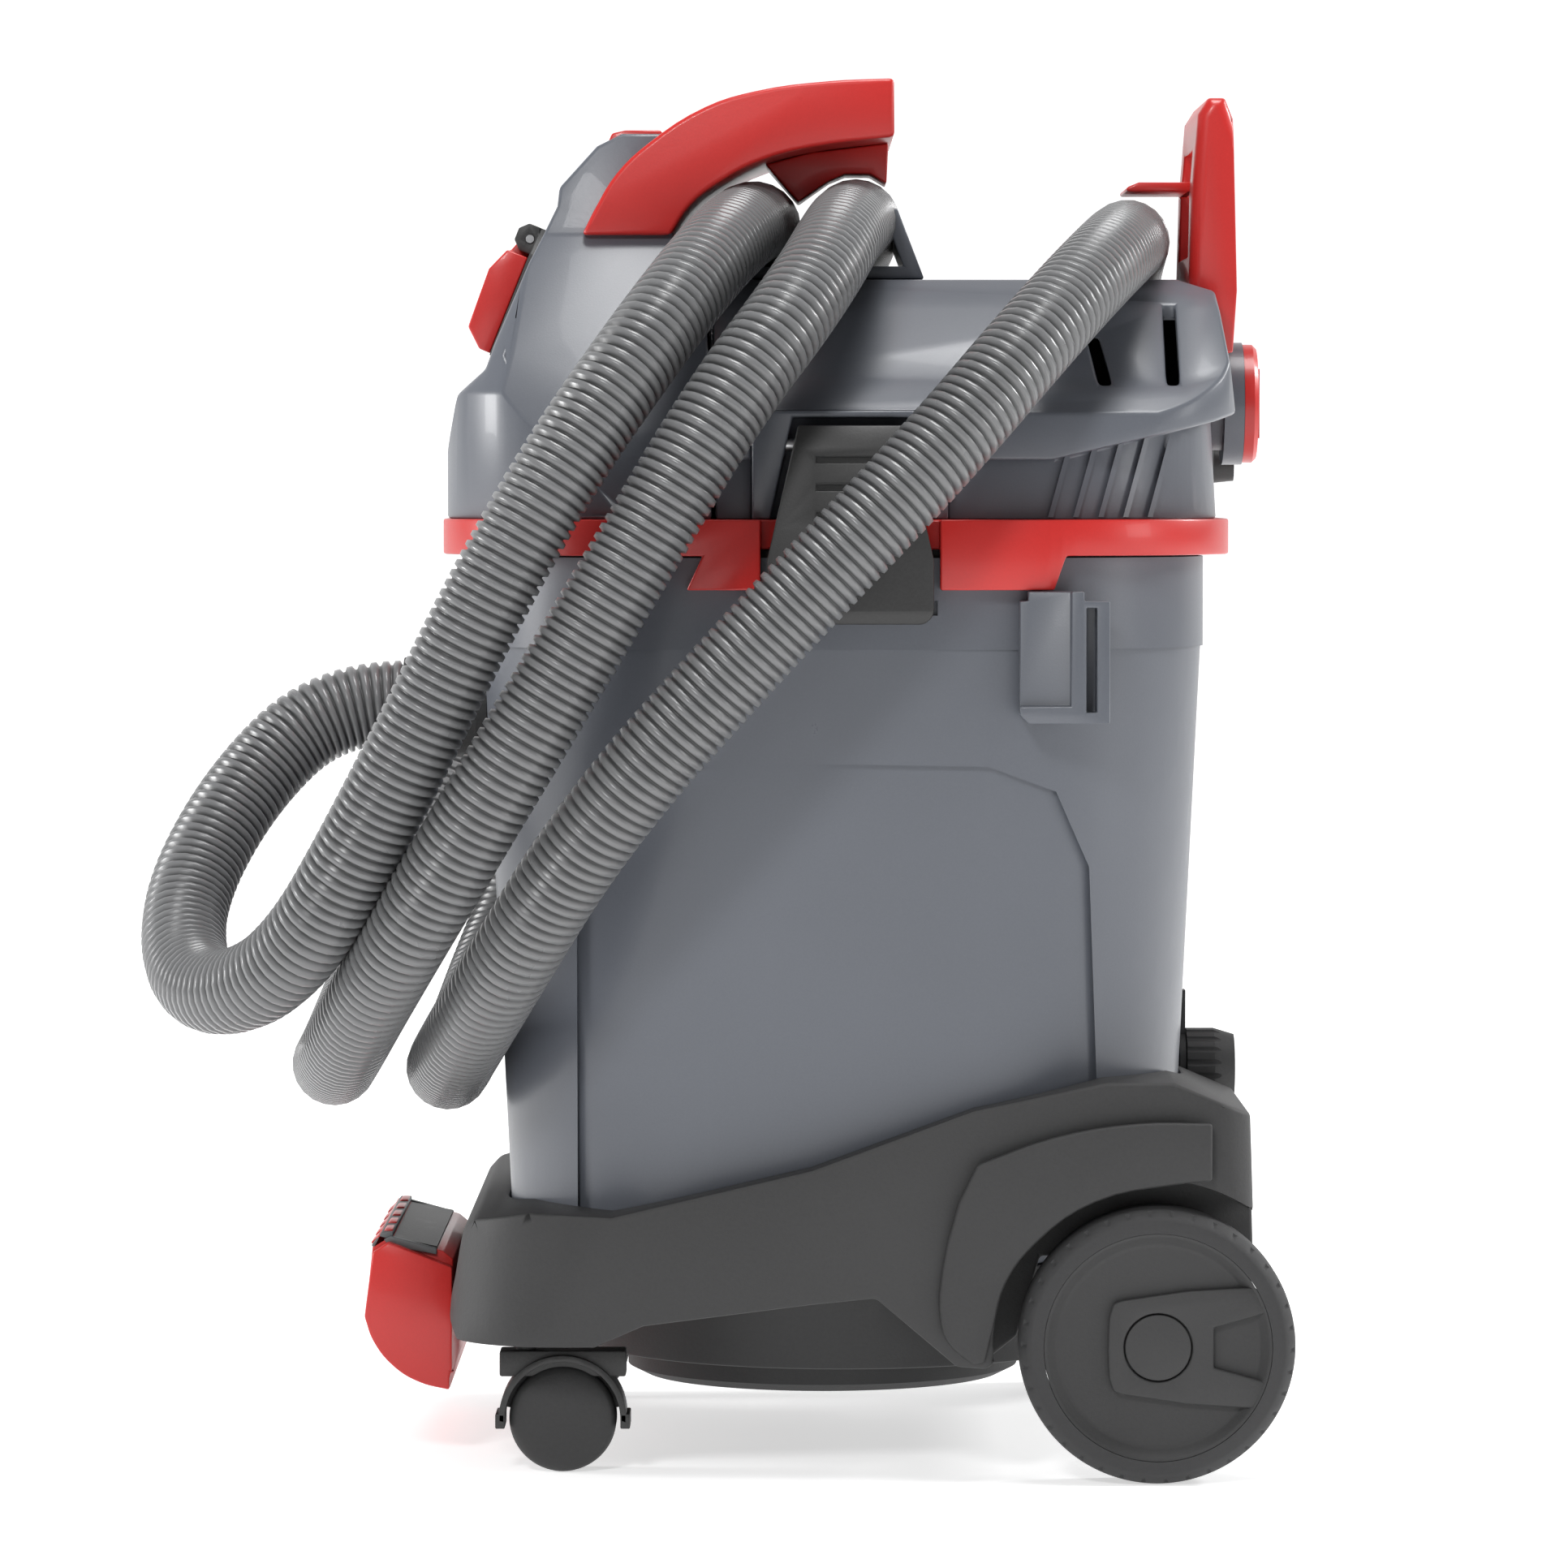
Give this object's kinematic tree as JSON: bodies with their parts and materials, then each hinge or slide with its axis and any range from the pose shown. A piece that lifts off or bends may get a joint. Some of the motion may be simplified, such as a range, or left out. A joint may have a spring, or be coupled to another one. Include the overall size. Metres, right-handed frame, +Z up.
{
  "type": "shop vacuum",
  "caption": "Wheeled wet and dry shop vacuum: drafted bucket on a caster chassis, motor head held by side latches, suction hose wound round its carry handle.",
  "frame": {"origin": "on the floor under the middle of the machine, its hose left out", "axes": "+X from the front bumper to the rear wheels, +Y to the side away from the near latch, +Z up"},
  "size_m": [0.5509, 0.5126, 0.663],
  "materials": {
    "black": "fine textured black plastic",
    "body_grey": "satin moulded plastic",
    "charcoal": "finely grained black-grey plastic",
    "clear_grey": "light grey plastic",
    "foam": "pleated filter paper",
    "gasket": "soft rubber",
    "hose_grey": "semi-gloss corrugated hose plastic",
    "motor_metal": "cast aluminium",
    "red": "satin red plastic",
    "steel": "bright steel",
    "tyre_black": "hard grey rubber"
  },
  "bodies": {
    "machine": {"bearings": "steel", "blower_collar": "body_grey", "bumper_inlay": "body_grey", "carry_handle": "red", "chassis": "charcoal", "drain_spout": "charcoal", "end_cuff": "black", "fan_housing": "black", "filter_cage": "black", "filter_cartridge": "foam", "flap_pin": "steel", "float_cage": "black", "front_bumper": "red", "front_tower": "body_grey", "head_base": "body_grey", "hose_cuff": "black", "hose_keeper": "red", "hose_trough": "body_grey", "inlet_port": "black", "latch_pins": "steel", "latch_seats": "body_grey", "lid_band": "red", "lid_gasket": "gasket", "mains_gland": "black", "motor_can": "motor_metal", "motor_plate": "black", "motor_seal": "gasket", "rear_axle": "steel", "rear_cover": "body_grey", "rear_post": "red", "socket_base": "black", "suction_hose": "hose_grey", "switch_plate": "black", "tank": "body_grey", "tank_rim": "body_grey", "tool_brackets": "body_grey", "under_pan": "charcoal", "vent_ribs": "body_grey"},
    "wheel_near_body": {"tyre_near": "tyre_black", "rim_near": "charcoal", "wheel_cover_near": "charcoal", "hub_cap_near": "charcoal"},
    "wheel_far_body": {"tyre_far": "tyre_black", "rim_far": "charcoal", "wheel_cover_far": "charcoal", "hub_cap_far": "charcoal"},
    "caster_near_body": {"caster_hood_near": "charcoal"},
    "caster_far_body": {"caster_hood_far": "charcoal"},
    "caster_wheel_near_body": {"caster_wheel_near": "charcoal"},
    "caster_wheel_far_body": {"caster_wheel_far": "charcoal"},
    "latch_near_body": {"latch_near": "black"},
    "latch_far_body": {"latch_far": "black"},
    "flap_body": {"socket_flap": "red"},
    "knob_body": {"switch_knob": "red"},
    "blower_cap_body": {"blower_cap": "red"},
    "drain_cap_body": {"drain_cap": "charcoal"},
    "rotor_body": {"motor_shaft": "steel", "impeller": "motor_metal"},
    "float_body": {"float": "clear_grey"}
  },
  "joints": [
    {"name": "wheel_near_spin", "type": "hinge", "parent": "machine", "child": "wheel_near_body", "pos_m": [0.1585, -0.179, 0.065], "axis": [0, 1, 0], "continuous": true},
    {"name": "wheel_far_spin", "type": "hinge", "parent": "machine", "child": "wheel_far_body", "pos_m": [0.1585, 0.179, 0.065], "axis": [0, 1, 0], "continuous": true},
    {"name": "caster_near_swivel", "type": "hinge", "parent": "machine", "child": "caster_near_body", "pos_m": [-0.1395, -0.138, 0.06], "axis": [0, 0, 1], "continuous": true},
    {"name": "caster_far_swivel", "type": "hinge", "parent": "machine", "child": "caster_far_body", "pos_m": [-0.1395, 0.138, 0.06], "axis": [0, 0, 1], "continuous": true},
    {"name": "caster_near_roll", "type": "hinge", "parent": "caster_near_body", "child": "caster_wheel_near_body", "pos_m": [-0.1215, -0.138, 0.0255], "axis": [0, 1, 0], "continuous": true},
    {"name": "caster_far_roll", "type": "hinge", "parent": "caster_far_body", "child": "caster_wheel_far_body", "pos_m": [-0.1215, 0.138, 0.0255], "axis": [0, 1, 0], "continuous": true},
    {"name": "latch_near_swing", "type": "hinge", "parent": "machine", "child": "latch_near_body", "pos_m": [0.0145, -0.166, 0.487], "axis": [-1, 0, 0], "range_deg": [0, 12]},
    {"name": "latch_far_swing", "type": "hinge", "parent": "machine", "child": "latch_far_body", "pos_m": [0.0145, 0.166, 0.487], "axis": [1, 0, 0], "range_deg": [0, 28]},
    {"name": "socket_flap_lift", "type": "hinge", "parent": "machine", "child": "flap_body", "pos_m": [-0.14074, 0, 0.58824], "axis": [0, 1, 0], "range_deg": [0, 100]},
    {"name": "switch_turn", "type": "hinge", "parent": "machine", "child": "knob_body", "pos_m": [-0.1465, 0.055, 0.555], "axis": [-0.9285, 0, 0.3714], "range_deg": [-60, 60]},
    {"name": "blower_cap_twist", "type": "hinge", "parent": "machine", "child": "blower_cap_body", "pos_m": [0.1925, 0, 0.508], "axis": [1, 0, 0], "range_deg": [0, 90]},
    {"name": "drain_cap_screw", "type": "hinge", "parent": "machine", "child": "drain_cap_body", "pos_m": [0.1755, 0, 0.181], "axis": [1, 0, 0], "range_deg": [-360, 0]},
    {"name": "rotor_spin", "type": "hinge", "parent": "machine", "child": "rotor_body", "pos_m": [0.0565, 0, 0.5], "axis": [0, 0, 1], "continuous": true},
    {"name": "float_rise", "type": "slide", "parent": "machine", "child": "float_body", "axis": [0, 0, 1], "range_m": [0, 0.024]}
  ]
}
